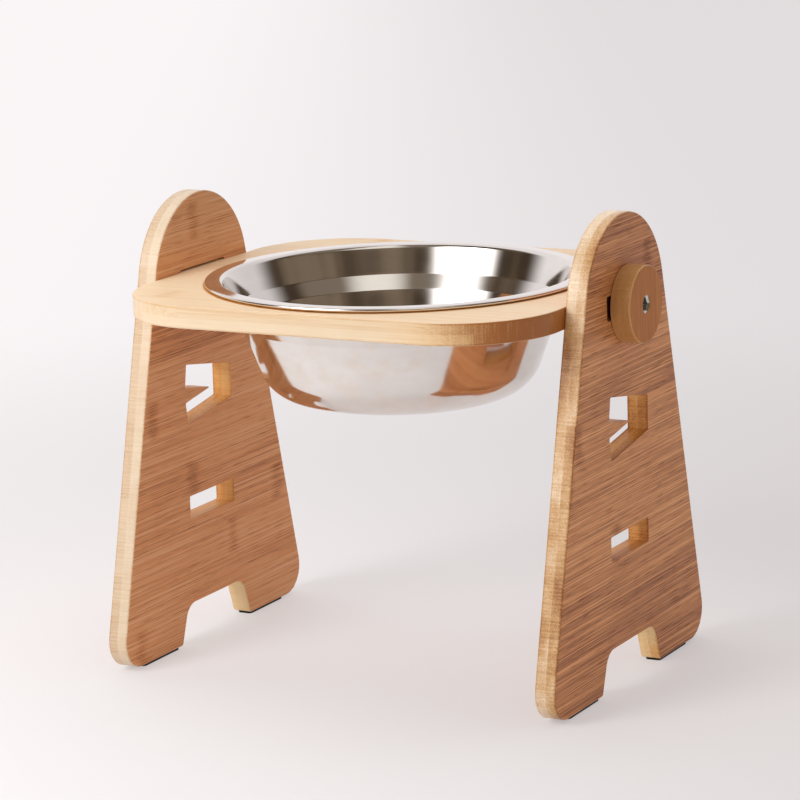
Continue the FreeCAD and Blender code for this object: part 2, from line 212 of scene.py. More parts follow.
class Wire:
    # one socket of a material; sums on it add Math nodes

    def __init__(self, socket):
        self.socket = socket

    def add(self, kind, settings=None, sockets=None, output=0):
        tree = self.socket.id_data
        node = tree.nodes.new("ShaderNode" + kind)
        for key, value in (settings or {}).items():
            if key == "stops":
                setStops(node.color_ramp, value)
            else:
                setattr(node, key, value)
        for key, value in (sockets or {}).items():
            if isinstance(value, Wire):
                tree.links.new(value.socket, node.inputs[key])
            else:
                node.inputs[key].default_value = value
        return Wire(node.outputs[output])

    def sum(self, operation, first, second=0.0):
        return self.add("Math", {"operation": operation}, {0: first, 1: second})

    def __add__(self, other):
        return self.sum("ADD", self, other)

    def __sub__(self, other):
        return self.sum("SUBTRACT", self, other)

    def __rsub__(self, other):
        return self.sum("SUBTRACT", other, self)

    def __mul__(self, other):
        return self.sum("MULTIPLY", self, other)

    def __truediv__(self, other):
        return self.sum("DIVIDE", self, other)

    def __abs__(self):
        return self.sum("ABSOLUTE", self)

    def __gt__(self, other):
        return self.sum("GREATER_THAN", self, other)

    def __lt__(self, other):
        return self.sum("LESS_THAN", self, other)

    __radd__ = __add__
    __rmul__ = __mul__

    def floor(self):
        return self.sum("FLOOR", self)

    def fraction(self):
        return self.sum("FRACT", self)

    def root(self):
        return self.sum("SQRT", self)

    def ease(self, low, high, bottom=0.0, top=1.0):
        # eased step from low to high
        limits = {"Value": self, "From Min": low, "From Max": high, "To Min": bottom, "To Max": top}
        return self.add("MapRange", {"interpolation_type": "SMOOTHSTEP"}, limits)

    def vector(self, x, y, z):
        return self.add("CombineXYZ", None, {0: x, 1: y, 2: z})

    def parts(self):
        # the x, y and z of a vector
        return [self.add("SeparateXYZ", None, {0: self}, index) for index in range(3)]

    def noise(self, vector, detail=2.0, rough=0.5):
        sockets = {"Vector": vector, "Scale": 1.0, "Detail": detail, "Roughness": rough}
        return self.add("TexNoise", {"noise_dimensions": "3D"}, sockets)

    def patches(self, place, scales, detail=2.0, rough=0.5):
        # noise with a scale of its own along each axis
        x, y, z = [part * scale for part, scale in zip(place, scales)]
        return self.noise(self.vector(x, y, z), detail, rough)

    def rings(self, position, detail=2.0):
        sockets = {"W": position, "Scale": 1.0, "Detail": detail}
        return self.add("TexNoise", {"noise_dimensions": "1D"}, sockets)

    def chance(self, first, second):
        # one random number for each pair of whole numbers
        pair = self.vector(first, second, 0.0)
        return self.add("TexWhiteNoise", {"noise_dimensions": "2D"}, {"Vector": pair})

    def ramp(self, stops):
        return self.add("ValToRGB", {"stops": stops}, {"Fac": self})

    def tones(self, dark, middle, light):
        return self.ramp([(0.0, dark), (0.5, middle), (1.0, light)])

    def blend(self, first, second):
        # colour between two colours, by this value; a Mix node's colour sockets go by number
        return self.add("Mix", {"data_type": "RGBA"}, {0: self, 6: first, 7: second}, 2)

    def bump(self, strength):
        # normal of a surface with this height, in metres
        return self.add("Bump", None, {"Strength": strength, "Distance": 1.0, "Height": self})


def setStops(ramp, stops):
    while len(ramp.elements) < len(stops):
        ramp.elements.new(0.5)
    for element, (place, colour) in zip(ramp.elements, stops):
        element.position = place
        element.color = colour


def screenColour(red, green, blue):
    # colour as seen on a screen, 0 to 255, as the linear colour that a shader takes
    parts = [value / 255 for value in (red, green, blue)]
    return tuple(p / 12.92 if p <= 0.04045 else ((p + 0.055) / 1.055) ** 2.4 for p in parts) + (1.0,)


def screenTones(*colours):
    return [screenColour(*colour) for colour in colours]


def weigh(marks, weights):
    # the marks that are named, each times its weight, added up
    return sum(marks[name] * weight for name, weight in weights.items())


def newFinish(name):
    finish = bpy.data.materials.new(name)
    finish.use_nodes = True
    shader = finish.node_tree.nodes["Principled BSDF"]
    return finish, shader, Wire(shader.outputs[0])


def feed(shader, **sockets):
    for key, value in sockets.items():
        socket = shader.inputs[key.replace("_", " ")]
        if isinstance(value, Wire):
            shader.id_data.links.new(value.socket, socket)
        else:
            socket.default_value = value


# Bamboo: two plies glued face to face, each of long strips with fine fibres and a knuckle here and there

bambooLook = {
    # strips, and where the random tones start
    "halfThick": 0.006, "stripWidth": 0.021, "plyShift": 0.43, "sideShift": 0.21,
    "glueLine": (0.978, 0.996), "stripSeed": 657.0, "plySeed": 196.0, "sideSeed": 500.0,
    "sawnDraw": (3.0, 11.0), "knuckleDraw": (7.0, 3.0),
    # grain, in cycles per metre along the fibres and across them
    "grainScales": {"bands": (7.0, 260.0), "threads": (6.5, 1150.0), "fibres": (18.0, 2100.0),
                    "pores": (60.0, 1700.0), "cloud": (12.0, 36.0), "speckle": (800.0, 1300.0)},
    "paleThreads": (0.52, 0.66), "darkThreads": (0.48, 0.32), "pores": (0.57, 0.70), "speckle": (0.3, 0.7),
    "knuckleSpacing": 0.42, "knuckleReach": 0.009, "knuckleEven": 0.4, "wander": 0.010,
    "wanderScales": (30.0, 160.0, 1.0),
    # saw and router marks, in cycles per metre along, across and through
    "sawnScales": {"router": (1000.0, 1000.0, 50.0), "sparkle": (1500.0, 800.0, 1500.0),
                   "drift": (6.0, 30.0, 60.0)},
    # colours from dark to light
    "face": screenTones((141, 75, 33), (228, 157, 100), (242, 194, 147)),
    "edge": screenTones((190, 140, 88), (224, 199, 168), (240, 223, 200)),
    # painted shade: a darker, more golden copy of the edge colours for the right-hand side
    "shadedRightEdge": screenTones((150, 86, 36), (217, 170, 116), (250, 230, 200)),
    # painted shade: the slot walls are a darker, more golden copy of the edge colours
    "slot": screenTones((170, 102, 38), (230, 170, 96), (246, 212, 150)),
    # how far each mark lightens (or darkens, below zero) the broad faces and the sawn edges
    "faceMarks": {"bands": 0.12, "paleThreads": 0.27, "darkThreads": -0.14, "fibres": 0.6,
                  "pores": -0.22, "glueLine": -0.1},
    "faceTone": 0.495, "faceCloud": 0.25, "faceKnuckle": -0.27, "stripTone": 0.24,
    # painted shade: the right panel's faces are darker, and so is the left panel's outer face, which faces
    # the key lamp
    "rightShadeTone": -0.18, "leftOuterShadeTone": -0.22,
    "edgeMarks": {"threads": 0.4, "fibres": 0.7, "pores": -0.12},
    "edgeTone": 0.54, "edgeCloud": 0.3, "edgeKnuckle": -0.12, "edgeStripTone": 0.2, "grainTone": 1.0,
    # painted highlight along the middle of each sawn edge, and painted shade on its rounded borders
    "plyTone": -0.18, "seamHighlight": 0.06, "seamReach": 0.0012, "borderShading": -0.3, "borderStart": 0.72,
    "routerMarks": 0.5, "rightEndShade": 0.0,
    # painted shade makes the right-hand side darker, more golden and patchier, and the walls of the slots
    # darker and more golden; the walls of the arch get less of it and are painted lighter
    "rightStart": 0.03, "rightFull": 0.12, "rightDriftAndShadow": 1.6, "sparkle": 0.5, "rightSlotShade": -0.15,
    "slotReach": 0.0265, "crown": 0.236, "slotMatt": 0.85,
    "archReach": 0.039, "archTop": 0.0237, "archPale": 0.3, "archLight": 0.45,
    "rimShadeReach": 0.0,
    # surface
    "broad": (0.60, 0.95), "roughness": 0.46, "specular": 0.3, "edgeCoat": 0.4, "coatRoughness": 0.26,
    "roughMarks": {"fibres": 0.16, "pores": 0.12, "knuckle": 0.08},
    "reliefMarks": {"threads": 0.35, "fibres": 0.65, "pores": -0.5, "glueLine": -0.5},
    "relief": 0.00006, "bumpStrength": 0.6,
}


def boardPlaces(wire, grain, across, thick, middle, look):
    # grain, across and thick are the axes along the fibres, over the strips and through the board
    axes = dict(zip("xyz", wire.add("TexCoord", output="Object").parts()))
    facing = dict(zip("xyz", wire.add("TexCoord", output="Normal").parts()))
    along, over = axes[grain], axes[across]
    through = abs(axes[thick]) - middle
    ply, right = through > 0, axes["x"] > 0
    atArch = over < look["archTop"]
    reach = look["slotReach"] + atArch * (look["archReach"] - look["slotReach"])
    inCut = (abs(along) < reach) * (over < look["crown"])
    return SimpleNamespace(
        along=along, over=over, through=through, ply=ply, right=right,
        seed=ply * look["plySeed"] + right * look["sideSeed"] + look["stripSeed"],
        shadedToRight=axes["x"].ease(look["rightStart"], look["rightFull"]),
        broad=abs(facing[thick]).ease(*look["broad"]), endOn=abs(facing[grain]),
        archWall=inCut * atArch, inSlot=inCut * (1 - atArch * look["archPale"]),
    )


def bambooMarks(wire, board, look):
    # what shows on the wood: each mark runs from 0 to 1 or swings about 0
    def grainNoise(name, detail=1.0):
        lengthwise, crosswise = look["grainScales"][name]
        deep = board.through * crosswise + board.seed
        return wire.noise(wire.vector(board.along * lengthwise, board.over * crosswise, deep), detail)

    def draw(offset):
        return wire.chance(strip + offset[0], board.seed + offset[1])

    shift = board.ply * look["plyShift"]
    strips = board.over / look["stripWidth"] + shift + board.right * look["sideShift"]
    strip = strips.floor()
    stripEdge = abs((strips.fraction() - 0.5) * 2.0)
    threads = grainNoise("threads")

    wander = wire.patches((board.along, board.over, board.seed), look["wanderScales"], 2.0) - 0.5
    turns = (board.along + wander * look["wander"]) / look["knuckleSpacing"] + draw(look["knuckleDraw"])
    knuckleGap = abs(turns.fraction() - 0.5) * look["knuckleSpacing"]
    speckle = grainNoise("speckle", 3.0).ease(*look["speckle"])
    knuckleDepth = look["knuckleEven"] + (1 - look["knuckleEven"]) * speckle
    return {
        "bands": grainNoise("bands") - 0.5,
        "threads": threads - 0.5,
        "paleThreads": threads.ease(*look["paleThreads"]),
        "darkThreads": threads.ease(*look["darkThreads"]),
        "fibres": grainNoise("fibres") - 0.5,
        "pores": grainNoise("pores").ease(*look["pores"]),
        "cloud": grainNoise("cloud", 2.0) - 0.5,
        "glueLine": stripEdge.ease(*look["glueLine"]),
        "strip": wire.chance(strip, board.seed) - 0.5,
        "sawnStrip": draw(look["sawnDraw"]) - 0.5,
        "knuckle": knuckleGap.ease(look["knuckleReach"], 0.0) * knuckleDepth,
    }


def rimShadeRing(board, look):
    # painted shade under the bowl's rim: a warm, dark ring on top, round the hole
    fromAxis = (board.along * board.along + board.over * board.over).root()
    outer, inner = look["rimShadeReach"], look["rimShadeReach"] - look["rimShadeWidth"]
    fade = fromAxis.ease(outer, outer - look["rimShadeOuterFade"])
    return fade * fromAxis.ease(inner, inner + look["rimShadeInnerFade"]) * board.ply


def faceColour(board, marks, look):
    tone = look["faceTone"] + weigh(marks, look["faceMarks"]) * look["grainTone"]
    tone = tone + marks["cloud"] * look["faceCloud"] + marks["strip"] * look["stripTone"]
    tone = tone + marks["knuckle"] * look["faceKnuckle"]
    # painted shade on the right panel and on the left panel's outer face
    tone = tone + board.right * look["rightShadeTone"] + board.ply * (1 - board.right) * look["leftOuterShadeTone"]
    face = tone.tones(*look["face"])
    return rimShadeRing(board, look).blend(face, look["rimShade"]) if look["rimShadeReach"] else face


def edgeColour(wire, board, marks, look):
    # the sawn edges: paler, each strip with a tone of its own; painted shade makes them golden in the
    # slots, on the right and at the borders, and a painted highlight runs along the seam
    def sawnNoise(name, detail):
        place = board.along, board.over, board.through
        return wire.patches(place, look["sawnScales"][name], detail) - 0.5

    routed = board.endOn * look["routerMarks"]
    grained = weigh(marks, look["edgeMarks"]) * look["grainTone"] + marks["knuckle"] * look["edgeKnuckle"]
    seam = abs(board.through).ease(look["seamReach"], 0.0)
    border = abs(board.through).ease(look["halfThick"] * look["borderStart"], look["halfThick"])
    tone = look["edgeTone"] + grained * (1 - routed) + sawnNoise("router", 1.0) * routed
    tone = tone + (board.ply - 0.5) * look["plyTone"] + marks["cloud"] * look["edgeCloud"]
    # painted highlight along the seam, and painted shade on the rounded borders
    tone = tone + seam * look["seamHighlight"] + border * look["borderShading"]
    # painted light on the walls of the arch
    tone = tone + marks["sawnStrip"] * look["edgeStripTone"] + board.archWall * look["archLight"]
    # patchy tone on the right, with a dark patch under the tray as painted shadow; painted shade on the
    # slot walls on the right
    uneven = sawnNoise("drift", 2.0) * look["rightDriftAndShadow"] + sawnNoise("sparkle", 2.0) * look["sparkle"]
    tone = tone + (uneven + board.inSlot * look["rightSlotShade"]) * board.shadedToRight
    # painted shade: end grain on the right-hand side is darkened, where it turns away from the key lamp
    tone = tone - board.endOn * board.shadedToRight * look["rightEndShade"]
    # painted shade: the right-hand side and the slot walls take darker, golden copies of the edge colours
    pale, golden, slot = [tone.tones(*look[key]) for key in ("edge", "shadedRightEdge", "slot")]
    return board.inSlot.blend(board.shadedToRight.blend(pale, golden), slot)


def bambooFinish(name, grain, across, thick, middle, look):
    finish, shader, wire = newFinish(name)
    board = boardPlaces(wire, grain, across, thick, middle, look)
    marks = bambooMarks(wire, board, look)
    face = faceColour(board, marks, look)
    edge = edgeColour(wire, board, marks, look)
    height = weigh(marks, look["reliefMarks"]) * look["relief"]
    roughness = look["roughness"] + weigh(marks, look["roughMarks"])
    coat = (1 - board.broad) * (1 - board.inSlot * look["slotMatt"]) * look["edgeCoat"]
    feed(shader, Base_Color=board.broad.blend(edge, face), Roughness=roughness)
    feed(shader, Normal=height.bump(look["bumpStrength"]), Specular_IOR_Level=look["specular"])
    feed(shader, Coat_Weight=coat, Coat_Roughness=look["coatRoughness"])
    return finish


# Metals and rubber

steelLook = {
    # warm tint and warm mottle outside: partly patina, partly painted reflection of the bamboo
    "colour": (0.83, 0.79, 0.755, 1.0), "smearShade": 0.9, "smearStart": 0.3, "smearFull": 0.75,
    "reflectedWoodTarnish": (0.76, 0.67, 0.60, 1.0), "reflectedWoodTarnished": 0.55, "outside": (0.1, 0.4),
    "smearScales": (26.0, 26.0, 60.0), "mottleScales": (70.0, 70.0, 90.0), "mottle": (0.42, 0.72),
    "polishLines": 2600.0, "lineDepth": 0.0000012, "bandLines": 160.0,
    "waveScales": (14.0, 14.0, 22.0), "waveDepth": 0.00012, "bumpStrength": 1.0,
    "roughness": 0.085, "outsideRoughness": 0.02, "markRoughness": 0.04, "smearRough": (0.5, 0.8),
}


def steelFinish(name, look):
    # polished on a lathe: fine rings about the upright axis, and sheet that isn't quite true
    finish, shader, wire = newFinish(name)
    place = wire.add("TexCoord", output="Object").parts()
    normalX, normalY = wire.add("TexCoord", output="Normal").parts()[:2]
    x, y, z = place
    outward = (x * x + y * y).root()
    outside = ((normalX * x + normalY * y) / outward).ease(*look["outside"])
    alongProfile = outward + z
    rings = wire.rings(alongProfile * look["polishLines"], 3.0)
    bands = wire.rings(alongProfile * look["bandLines"], 2.0)
    waves = wire.patches(place, look["waveScales"], 1.0)
    smears = wire.patches(place, look["smearScales"], 3.0, 0.6)
    mottle = wire.patches(place, look["mottleScales"], 4.0, 0.65)
    height = rings * look["lineDepth"] + waves * look["waveDepth"]
    rough = smears.ease(*look["smearRough"]) + (rings - 0.5) + (bands - 0.5)
    roughness = look["roughness"] + outside * look["outsideRoughness"] + rough * look["markRoughness"]
    smeared = tuple(look["smearShade"] * part for part in look["colour"])
    colour = smears.ramp([(look["smearStart"], look["colour"]), (look["smearFull"], smeared)])
    # warm mottle on the outside: patina and painted reflection of the bamboo
    colour = (mottle.ease(*look["mottle"]) * outside * look["reflectedWoodTarnished"]).blend(colour, look["reflectedWoodTarnish"])
    feed(shader, Base_Color=colour, Metallic=1.0, Roughness=roughness)
    feed(shader, Normal=height.bump(look["bumpStrength"]))
    return finish


zincLook = {
    "bright": (0.72, 0.71, 0.69, 1.0), "dull": (0.44, 0.43, 0.41, 1.0), "dullEnd": 0.3, "brightStart": 0.62,
    "spangleScales": (420.0, 420.0, 420.0), "spangleDepth": 0.00001,
    "turnLines": 5200.0, "turnDepth": 0.000006, "bumpStrength": 0.7, "roughness": 0.22, "roughSwing": 0.3,
}


def zincFinish(name, look):
    # spangled, with fine lines from turning about the x axis
    finish, shader, wire = newFinish(name)
    place = wire.add("TexCoord", output="Object").parts()
    spangles = wire.patches(place, look["spangleScales"], 3.0, 0.6)
    turning = wire.rings(place[0] * look["turnLines"], 2.0)
    height = turning * look["turnDepth"] + spangles * look["spangleDepth"]
    colour = spangles.ramp([(look["dullEnd"], look["dull"]), (look["brightStart"], look["bright"])])
    roughness = look["roughness"] + (spangles - 0.5) * look["roughSwing"]
    feed(shader, Base_Color=colour, Metallic=1.0, Roughness=roughness)
    feed(shader, Normal=height.bump(look["bumpStrength"]))
    return finish


rubberLook = {
    "dark": (0.009, 0.008, 0.007, 1.0), "worn": (0.026, 0.024, 0.022, 1.0),
    "darkEnd": 0.35, "wornStart": 0.7, "dustScales": (180.0, 180.0, 180.0),
    "grainScales": (2400.0, 2400.0, 2400.0), "grainDepth": 0.00006, "bumpStrength": 0.8,
    "roughness": 0.72, "roughSwing": 0.3, "specular": 0.25,
}


def rubberFinish(name, look):
    finish, shader, wire = newFinish(name)
    place = wire.add("TexCoord", output="Object").parts()
    grains = wire.patches(place, look["grainScales"], 2.0)
    dust = wire.patches(place, look["dustScales"], 3.0)
    height = grains * look["grainDepth"]
    colour = dust.ramp([(look["darkEnd"], look["dark"]), (look["wornStart"], look["worn"])])
    feed(shader, Base_Color=colour, Roughness=look["roughness"] + (grains - 0.5) * look["roughSwing"])
    feed(shader, Normal=height.bump(look["bumpStrength"]), Specular_IOR_Level=look["specular"])
    return finish


panelLow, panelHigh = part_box("right_side_panel")
trayLow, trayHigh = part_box("tray_board")
knobLow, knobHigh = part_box("right_knob")
bowlLow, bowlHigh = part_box("bowl")

plainLook = dict(  # a board without slots, and much the same on the left and on the right
    bambooLook, slotReach=-0.01, archReach=-0.01, seamHighlight=0.0, rightShadeTone=0.0, leftOuterShadeTone=0.0,
    rightDriftAndShadow=0.2, sparkle=0.2,
)
trayLook = dict(
    plainLook, stripSeed=0.0, plySeed=216.0, sideSeed=0.0, sideShift=0.0, grainTone=0.65, stripTone=0.16,
    # painted shade on the tray's right end grain, which turns away from the key lamp
    plyTone=0.0, routerMarks=0.85, rightEndShade=0.66,
    face=screenTones((224, 181, 130), (245, 217, 180), (251, 232, 204)),
    edge=screenTones((211, 162, 104), (233, 208, 174), (242, 226, 202)),
    # painted shade: the tray's right-hand edges and corners take darker, golden colours
    shadedRightEdge=screenTones((172, 102, 40), (236, 192, 132), (246, 220, 178)),
    # painted shade: a warm, dark ring on top, under the bowl's rim
    rimShade=screenColour(214, 146, 70), rimShadeReach=bowlHigh.x + 0.0015, rimShadeWidth=0.0065,
    rimShadeOuterFade=0.0012, rimShadeInnerFade=0.003,
)
knobRim = screenTones((156, 95, 44), (196, 140, 80), (220, 176, 120))
knobLook = dict(
    plainLook, knuckleSpacing=1.7, grainTone=0.6, stripTone=0.2, edgeStripTone=0.1, plyTone=-0.12,
    # painted highlight: a lighter line round the knob's rounded rims
    borderShading=0.35, specular=0.2, edge=knobRim, shadedRightEdge=knobRim,
    face=screenTones((156, 86, 36), (188, 116, 53), (212, 147, 78)),
)
# painted shade: the bolts are darker than the inserts, so the bottom of the hex hole looks dark
shadedBoltLook = dict(zincLook, bright=(0.42, 0.40, 0.38, 1.0), dull=(0.2, 0.19, 0.18, 1.0))

panelBamboo = bambooFinish("panelBamboo", "y", "z", "x", (panelLow.x + panelHigh.x) / 2, bambooLook)
trayBamboo = bambooFinish("trayBamboo", "x", "y", "z", (trayLow.z + trayHigh.z) / 2, trayLook)
knobBamboo = bambooFinish("knobBamboo", "z", "y", "x", (knobLow.x + knobHigh.x) / 2, knobLook)
bowlSteel = steelFinish("bowlSteel", steelLook)
insertZinc = zincFinish("insertZinc", zincLook)
boltZinc = zincFinish("boltZinc", shadedBoltLook)
padRubber = rubberFinish("padRubber", rubberLook)
print("finishes mixed")


# Side panels

panelSizes = {
    "baseDepth": 0.203, "crownRadius": 0.050, "footRadius": 0.016, "footInnerRadius": 0.002,
    "archHeight": 0.022, "archTopWidth": 0.060, "archBottomWidth": 0.076, "archRadius": 0.0105,
    "edgeRound": 0.001, "slotEdgeRound": 0.0003, "slotCornerRadius": 0.001, "slotArcStep": math.radians(15),
    "slotTopInset": 0.048, "slotPitch": 0.065, "slotLength": 0.0485, "slotHeight": 0.0133,
    "forkTilt": math.radians(9), "forkRear": 0.02575, "forkTip": 0.003, "forkTipRadius": 0.0003,
}


def panelOutline(sizes, height):
    foot, crown = sizes["baseDepth"] / 2, sizes["crownRadius"]
    middle = height - crown
    side = math.sqrt(foot ** 2 + middle ** 2 - crown ** 2)
    # where the straight sides would meet
    peak = foot * (foot * middle + crown * side) / (foot ** 2 - crown ** 2)
    half = [(sizes["archTopWidth"] / 2, sizes["archHeight"], sizes["archRadius"]),
            (sizes["archBottomWidth"] / 2, 0, sizes["footInnerRadius"]),
            (foot, 0, sizes["footRadius"])]
    mirrored = [(-depth, level, radius) for depth, level, radius in reversed(half)]
    return mirrored + half + [(0, peak, crown)]


def plainSlot(sizes):
    length, height, radius = sizes["slotLength"] / 2, sizes["slotHeight"] / 2, sizes["slotCornerRadius"]
    corners = [(-length, -height), (length, -height), (length, height), (-length, height)]
    return [(depth, level, radius) for depth, level in corners]


def forkSlot(sizes):
    # two branches that lean up and down towards the front and share their rear wall
    length, height, radius = sizes["slotLength"], sizes["slotHeight"], sizes["slotCornerRadius"]
    lean, rise, rear = math.cos(sizes["forkTilt"]), math.sin(sizes["forkTilt"]), sizes["forkRear"]
    halfRear = (height - (rear - sizes["forkTip"]) * rise) / lean
    outer = (rear - length * lean, halfRear + length * rise)
    inner = (outer[0] - height * rise, outer[1] - height * lean)
    upper = [(rear, halfRear, radius), (*outer, radius), (*inner, radius)]
    lower = [(depth, -level, corner) for depth, level, corner in reversed(upper)]
    return upper + [(sizes["forkTip"], 0, sizes["forkTipRadius"])] + lower


def makePanel(sizes):
    acrossX = Vector((1, 0, 0))
    thickness = panelHigh.x - panelLow.x

    def onPanel(depth, level):
        return Vector((panelLow.x, depth, panelLow.z + level))

    outline = panelOutline(sizes, panelHigh.z - panelLow.z)
    board = drawOutline("right_panel_board", outline, onPanel, acrossX)
    thicken((thickness, 0, 0))
    choose("edges", outlineOf(acrossX))
    bevelChosen(sizes["edgeRound"], segments=4)
    settle()

    start, top = panelLow.x - thickness / 2, panelHigh.z - sizes["slotTopInset"]
    for row, shape in enumerate((plainSlot, forkSlot, plainSlot)):
        level = top - row * sizes["slotPitch"]
        drawOutline("slot_cutter", shape(sizes), lambda depth, rise: Vector((start, depth, level + rise)),
                    acrossX, arcStep=sizes["slotArcStep"])
        thicken((2 * thickness, 0, 0))
        cutWith(board, [settle()])
    roundEdges(board, sizes["slotEdgeRound"], 60)
    smoothOver(board)
    return board


rightPanel = makePanel(panelSizes)
leftPanel = copyOf(rightPanel, "left_panel_board", (-panelLow.x - panelHigh.x, 0, 0))
for side, panel in (("right", rightPanel), ("left", leftPanel)):
    addPiece(panel, "stand", side + "_side_panel", panelBamboo)
print("side panels cut,", len(rightPanel.data.polygons), "faces each")


# Tray board

traySizes = {
    "length": 0.250, "cornerRadius": 0.056, "cornerArcStep": math.radians(3), "tenonWidth": 0.048,
    "edgeRound": 0.001, "holeRadius": 0.098, "holeSides": 192, "cutterHeight": 0.05,
    "boltRadius": 0.003, "boltDepth": 0.026, "boltSides": 48,
}


def makeTray(sizes):
    upright = Vector((0, 0, 1))
    end, depth, tenonEnd = sizes["length"] / 2, trayHigh.y, trayHigh.x
    tenon, corner, hole = sizes["tenonWidth"] / 2, sizes["cornerRadius"], sizes["holeRadius"]
    rightHalf = [(end, -depth, corner), (end, -tenon, 0), (tenonEnd, -tenon, 0),
                 (tenonEnd, tenon, 0), (end, tenon, 0), (end, depth, corner)]
    leftHalf = [(-x, -y, radius) for x, y, radius in rightHalf]
    board = drawOutline("tray_top_board", rightHalf + leftHalf, lambda x, y: Vector((x, y, trayLow.z)),
                        upright, arcStep=sizes["cornerArcStep"])
    thicken((0, 0, trayHigh.z - trayLow.z))
    choose("edges", outlineOf(upright))
    bevelChosen(sizes["edgeRound"], segments=4)
    settle()

    deselectAll()
    bpy.ops.mesh.primitive_cylinder_add(vertices=sizes["holeSides"], radius=hole,
                                        depth=sizes["cutterHeight"], location=(0, 0, trayLow.z))
    cutWith(board, [settle()])
    for tip in (-tenonEnd, tenonEnd):
        cutWith(board, [roundBar(sizes["boltRadius"], tip - sizes["boltDepth"], tip + sizes["boltDepth"],
                                 (trayLow.z + trayHigh.z) / 2, sizes["boltSides"])])
    useAlone(board)
    bpy.ops.object.mode_set(mode="EDIT")
    isOutline = outlineOf(upright)

    def atHole(edge):
        return isOutline(edge) and all(abs(vert.co.xy.length - hole) < 1e-4 for vert in edge.verts)

    choose("edges", atHole)
    bevelChosen(sizes["edgeRound"], segments=4)
    settle()
    smoothOver(board)
    return board


trayBoard = makeTray(traySizes)
addPiece(trayBoard, "stand", "tray_board", trayBamboo)
print("tray board cut,", len(trayBoard.data.polygons), "faces")


# Bowl

bowlSizes = {
    "wall": 0.0008, "taper": math.radians(20), "neckRadius": 0.0975, "baseCorner": 0.026, "bend": 0.003,
    "beadRadius": 0.0011, "beadTurn": math.radians(300), "beadStep": math.radians(18),
    "stepTop": 0.0165, "stepHeight": 0.008, "stepTaper": math.radians(29), "stepBend": 0.003,
    "arcStep": math.radians(3), "longRun": 0.008, "runCuts": 7, "spinSteps": 224,
}


def bowlProfile(sizes, bead):
    # the middle of the sheet from the axis to the bead; a shallow step in the wall is flatter than the rest
    half = sizes["wall"] / 2
    slope, stepSlope = math.tan(sizes["taper"]), math.tan(sizes["stepTaper"])
    base = bowlLow.z + half
    neck = sizes["neckRadius"] - half / math.cos(sizes["taper"])
    topReach, topLevel = neck - sizes["stepTop"] * slope, bowlHigh.z - sizes["stepTop"]
    footReach, footLevel = topReach - sizes["stepHeight"] * stepSlope, topLevel - sizes["stepHeight"]
    return [
        (0, base, 0), (footReach - (footLevel - base) * slope, base, sizes["baseCorner"] - half),
        (footReach, footLevel, sizes["stepBend"]), (topReach, topLevel, sizes["stepBend"]),
        (neck - half * slope, bowlHigh.z - half, sizes["bend"] - half), (*bead, 0),
    ]


def makeBowl(sizes):
    half = sizes["wall"] / 2
    bead = (bowlHigh.x - sizes["beadRadius"], bowlHigh.z - half)  # where the rim starts to curl
    curl = sizes["beadRadius"] - half

    def toSpace(outward, level):
        return Vector((outward, 0, level))

    bowl = drawOutline("steel_bowl", bowlProfile(sizes, bead), toSpace, (0, -1, 0), closed=False,
                       arcStep=sizes["arcStep"])
    swing(toSpace(bead[0], bead[1] - curl), -sizes["beadTurn"], (0, -1, 0), sizes["beadStep"])
    choose("edges", lambda edge: edge.calc_length() > sizes["longRun"])
    bpy.ops.mesh.subdivide(number_cuts=sizes["runCuts"])
    bpy.ops.mesh.select_all(action="SELECT")
    bpy.ops.mesh.spin(steps=sizes["spinSteps"], angle=2 * math.pi, center=(0, 0, 0), axis=(0, 0, 1))
    mergeDoubles()
    bpy.ops.mesh.normals_make_consistent(inside=False)
    settle()
    finishWith(bowl, "SOLIDIFY", thickness=sizes["wall"], offset=0)
    useAlone(bowl)
    bpy.ops.object.shade_smooth_by_angle(angle=math.radians(60))
    return bowl


steelBowl = makeBowl(bowlSizes)
addPiece(steelBowl, "bowl", "bowl", bowlSteel)
print("bowl spun,", len(steelBowl.data.polygons), "faces")


# Clamp knobs with their threaded inserts

knobSizes = {"edgeRound": 0.001, "holeRadius": 0.005, "holeRound": 0.0002, "sides": 128}


def makeKnob(sizes):
    level = (knobLow.z + knobHigh.z) / 2
    radius = (knobHigh.z - knobLow.z) / 2
    knob = roundBar(radius, knobLow.x, knobHigh.x, level, sizes["sides"])
    knob.name = "right_knob_disc"
    bpy.ops.object.mode_set(mode="EDIT")
    choose("faces", lambda face: abs(face.normal.x) > 0.9)
    bpy.ops.mesh.inset(thickness=radius - sizes["holeRadius"], use_individual=True)
    bpy.ops.mesh.bridge_edge_loops()
    isOutline = outlineOf(Vector((1, 0, 0)))

    def fromAxis(edge):
        middle = (edge.verts[0].co + edge.verts[1].co) / 2
        return math.hypot(middle.y, middle.z - level)

    choose("edges", lambda edge: isOutline(edge) and fromAxis(edge) > radius / 2)
    bevelChosen(sizes["edgeRound"], segments=5)
    choose("edges", lambda edge: isOutline(edge) and fromAxis(edge) < radius / 2)
    bevelChosen(sizes["holeRound"], segments=2)
    bpy.ops.mesh.select_all(action="SELECT")
    bpy.ops.mesh.normals_make_consistent(inside=False)
    settle()
    smoothOver(knob)
    return knob


insertSizes = {
    "sides": 96, "boreRadius": 0.00305, "boreSides": 64, "hexWidth": 0.0066, "hexDepth": 0.0045,
    "mouth": 0.0009, "edgeRound": 0.0002, "cutterPast": 0.002, "cutterOverlap": 0.001,
}


